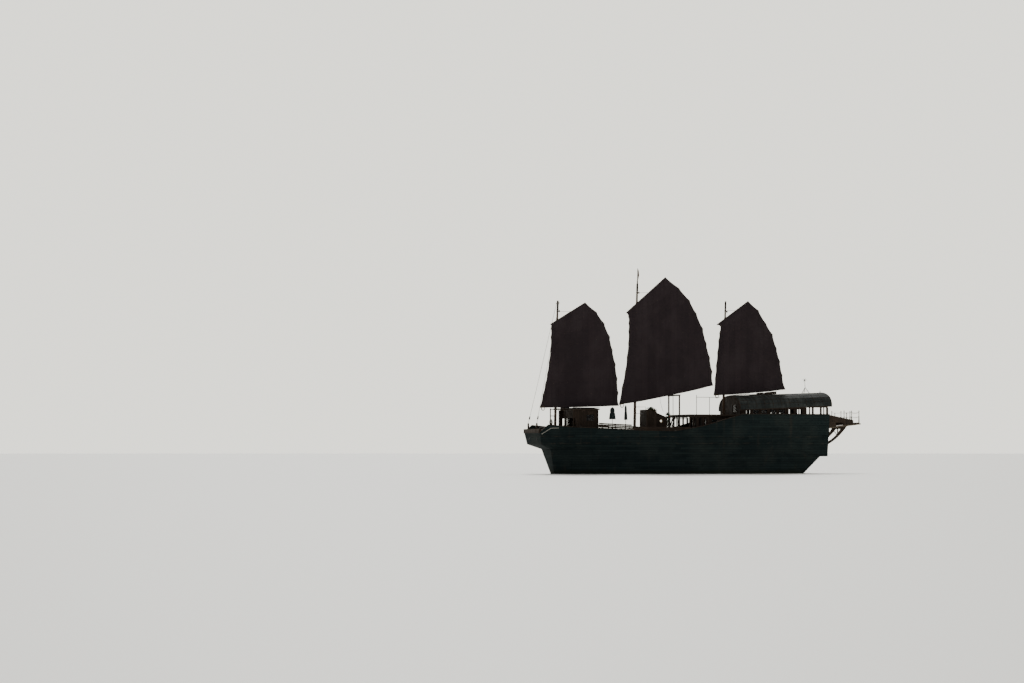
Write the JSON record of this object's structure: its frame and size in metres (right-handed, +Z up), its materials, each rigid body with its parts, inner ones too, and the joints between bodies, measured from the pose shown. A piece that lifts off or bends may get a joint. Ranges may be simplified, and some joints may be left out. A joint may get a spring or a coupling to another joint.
{
  "type": "three-masted junk ship",
  "caption": "Wooden junk afloat: battened lug sails on raked masts, barrel-roofed stern house, mid and fore deckhouses, stern gallery, rudder and screw.",
  "frame": {"origin": "on the centreline at the waterline, amidships", "axes": "+X aft along the hull, +Y to starboard, +Z up; the bow points to -X"},
  "size_m": [34.63, 7.72, 22.1505],
  "materials": {
    "hull_timber": "dark oiled planking, matt",
    "deck_planks": "worn deck planks",
    "varnished_timber": "dark varnished timber, satin",
    "roof_skin": "weathered dark matting, matt",
    "spar_timber": "oiled spars, satin",
    "sail_cloth": "tanned sail canvas, matt",
    "parasol_cloth": "faded canvas, matt",
    "dark_iron": "dark painted iron, satin",
    "bronze": "dulled bronze"
  },
  "bodies": {
    "hull": {"hull": "hull_timber", "bulwark_port": "hull_timber", "bulwark_starboard": "hull_timber", "fore_deck": "deck_planks", "main_deck": "deck_planks", "stern_deck": "deck_planks", "cap_rail_port": "varnished_timber", "cap_rail_starboard": "varnished_timber", "bow_beam": "varnished_timber", "skeg": "hull_timber", "fore_mast": "spar_timber", "main_mast": "spar_timber", "mizzen_mast": "spar_timber", "forestay_port": "dark_iron", "forestay_starboard": "dark_iron", "mast_bitt": "varnished_timber", "pennant": "sail_cloth", "fore_house": "varnished_timber", "fore_house_roof": "roof_skin", "fore_porch": "varnished_timber", "companion_house": "varnished_timber", "mid_house": "varnished_timber", "veranda_frame": "varnished_timber", "sun_deck": "deck_planks", "barrel_roof": "roof_skin", "stern_wall_port": "varnished_timber", "stern_wall_starboard": "varnished_timber", "stern_front": "varnished_timber", "stern_bulkhead": "varnished_timber", "gallery_deck": "deck_planks", "gallery_rail": "varnished_timber", "gallery_knees": "varnished_timber", "boom_gallows": "varnished_timber", "awning_poles": "dark_iron", "parasol_fore": "parasol_cloth", "parasol_aft": "parasol_cloth", "windlass_cheeks": "varnished_timber", "aerial_mast": "dark_iron"},
    "fore_rig": {"fore_sail": "sail_cloth", "fore_yard": "spar_timber", "fore_boom": "spar_timber", "fore_battens": "spar_timber"},
    "main_rig": {"main_sail": "sail_cloth", "main_yard": "spar_timber", "main_boom": "spar_timber", "main_battens": "spar_timber"},
    "mizzen_rig": {"mizzen_sail": "sail_cloth", "mizzen_yard": "spar_timber", "mizzen_boom": "spar_timber", "mizzen_battens": "spar_timber"},
    "rudder": {"rudder": "hull_timber"},
    "propeller": {"propeller": "bronze"},
    "windlass_drum": {"windlass_drum": "varnished_timber"},
    "fore_house_door": {"fore_house_door": "varnished_timber"},
    "mid_house_door": {"mid_house_door": "varnished_timber"},
    "stern_house_door": {"stern_house_door": "varnished_timber"},
    "veranda_door": {"veranda_door": "varnished_timber"}
  },
  "joints": [
    {"name": "fore_sail_swing", "type": "hinge", "parent": "hull", "child": "fore_rig", "pos_m": [-12.66, 0, 4.2], "axis": [0.0227, 0, 0.9997], "range_deg": [-55, 18]},
    {"name": "main_sail_swing", "type": "hinge", "parent": "hull", "child": "main_rig", "pos_m": [-4.4, 0, 3.6], "axis": [0.0225, 0, 0.9997], "range_deg": [-60, 60]},
    {"name": "mizzen_sail_swing", "type": "hinge", "parent": "hull", "child": "mizzen_rig", "pos_m": [5, 0, 3.6], "axis": [0.0235, 0, 0.9997], "range_deg": [-60, 60]},
    {"name": "rudder_turn", "type": "hinge", "parent": "hull", "child": "rudder", "pos_m": [13.2, 0, -0.6], "axis": [0, 0, 1], "range_deg": [-35, 35]},
    {"name": "propeller_spin", "type": "hinge", "parent": "hull", "child": "propeller", "pos_m": [12.6, 0, -0.85], "axis": [1, 0, 0], "continuous": true},
    {"name": "windlass_spin", "type": "hinge", "parent": "hull", "child": "windlass_drum", "pos_m": [-13.9, 0, 4.51], "axis": [0, 1, 0], "continuous": true},
    {"name": "fore_door_swing", "type": "hinge", "parent": "hull", "child": "fore_house_door", "pos_m": [-10.5103, -0.36, 4.22], "axis": [0, 0, 1], "range_deg": [0, 95]},
    {"name": "mid_door_swing", "type": "hinge", "parent": "hull", "child": "mid_house_door", "pos_m": [2.3897, -0.36, 3.62], "axis": [0, 0, 1], "range_deg": [0, 95]},
    {"name": "stern_door_swing", "type": "hinge", "parent": "hull", "child": "stern_house_door", "pos_m": [5.7497, 0.62, 5.83], "axis": [0, 0, 1], "range_deg": [0, 95]},
    {"name": "veranda_door_swing", "type": "hinge", "parent": "hull", "child": "veranda_door", "pos_m": [12.6803, 0.36, 4.97], "axis": [0, 0, 1], "range_deg": [0, 95]}
  ]
}
